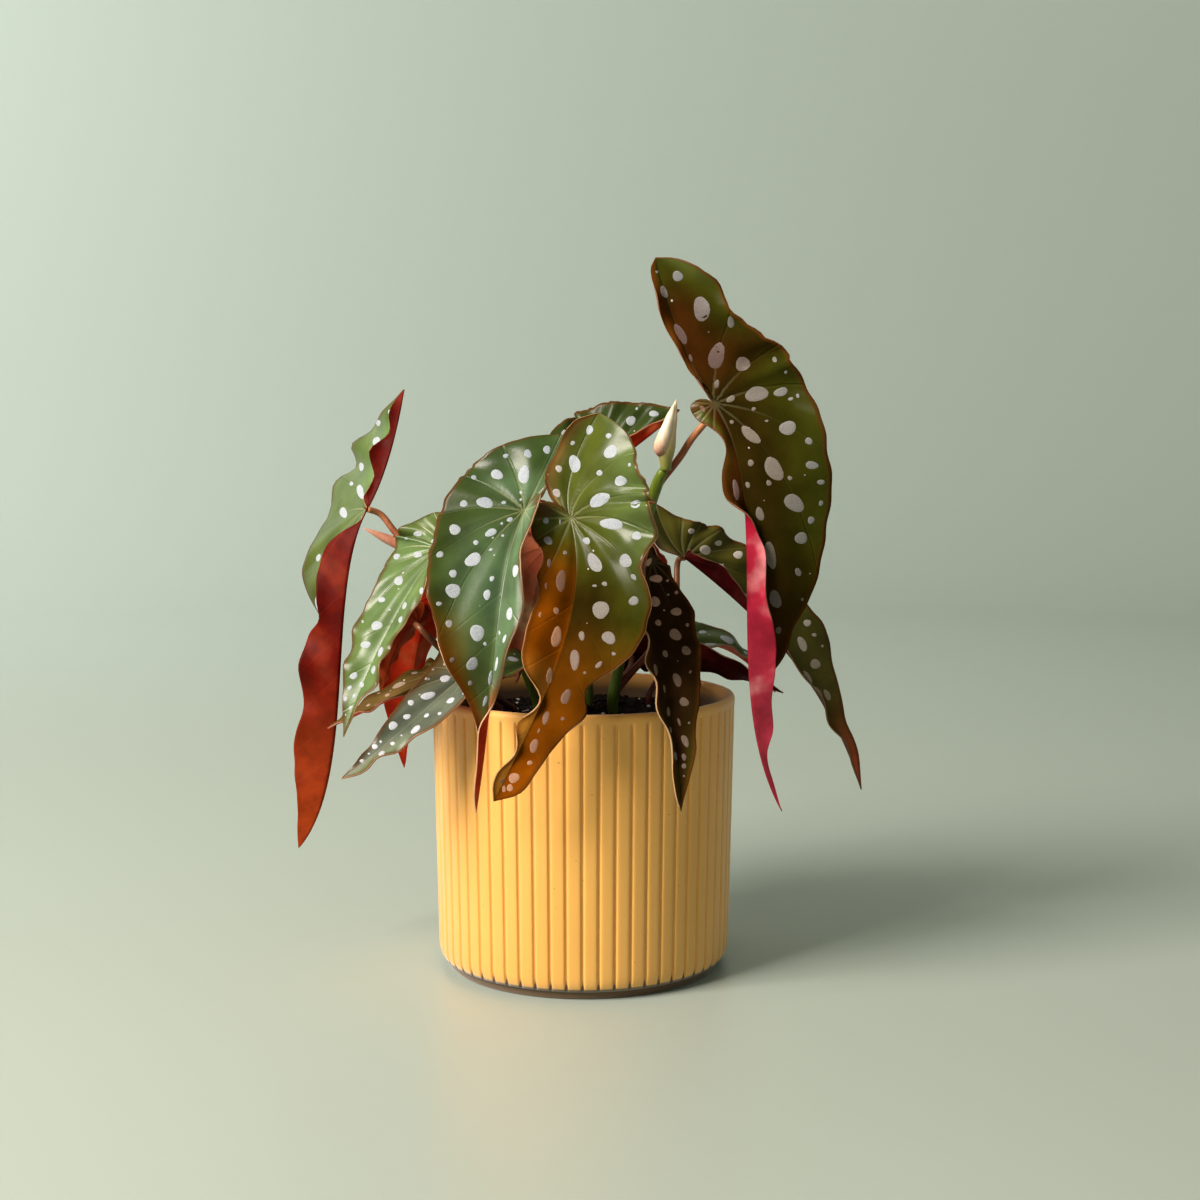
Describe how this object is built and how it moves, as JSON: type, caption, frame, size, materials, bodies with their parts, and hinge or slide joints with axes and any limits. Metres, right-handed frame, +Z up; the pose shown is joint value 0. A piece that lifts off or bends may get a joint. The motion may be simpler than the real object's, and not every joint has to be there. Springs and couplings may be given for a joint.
{
  "type": "potted polka dot begonia",
  "caption": "Spotted angel-wing begonia with arching red-backed leaves on green canes, standing in soil in a fluted cylindrical ceramic pot.",
  "frame": {"origin": "middle of the pot's foot, on the surface it stands on", "axes": "+Z up, -Y to the front, +X to the viewer's right"},
  "size_m": [0.2604, 0.1856, 0.3111],
  "materials": {
    "pot": "satin ochre-yellow glaze on fluted stoneware",
    "soil": "dark potting soil with perlite",
    "stem": "fleshy green cane, satin skin",
    "stalk": "red-brown leaf stalk, satin skin",
    "leaf": "waxy dark green leaf with silver spots, red underside",
    "bud": "cream papery bud sheath"
  },
  "bodies": {
    "root": {"pot": "pot", "soil": "soil", "stem_right": "stem", "stem_left": "stem", "stem_center": "stem", "stem_rear": "stem", "stalk_left_spotted": "stalk", "stalk_left_edge": "stalk", "stalk_left_small_red": "stalk", "stalk_right_low": "stalk", "stalk_right_rear": "stalk", "stalk_center_low": "stalk", "leaf_front_center": "leaf", "leaf_front_left": "leaf", "leaf_upper_right": "leaf", "leaf_far_left": "leaf", "leaf_left_mid": "leaf", "leaf_left_back": "leaf", "leaf_left_spotted": "leaf", "leaf_left_edge": "leaf", "leaf_left_red": "leaf", "leaf_left_small_red": "leaf", "leaf_right_dark": "leaf", "leaf_right_back": "leaf", "leaf_right_low": "leaf", "leaf_right_rear": "leaf", "leaf_top_back": "leaf", "leaf_center_back": "leaf", "leaf_center_low": "leaf", "leaf_rear_right": "leaf", "leaf_rear_left": "leaf", "leaf_rear_low": "leaf", "bud": "bud", "bract_left": "stalk"}
  },
  "joints": []
}
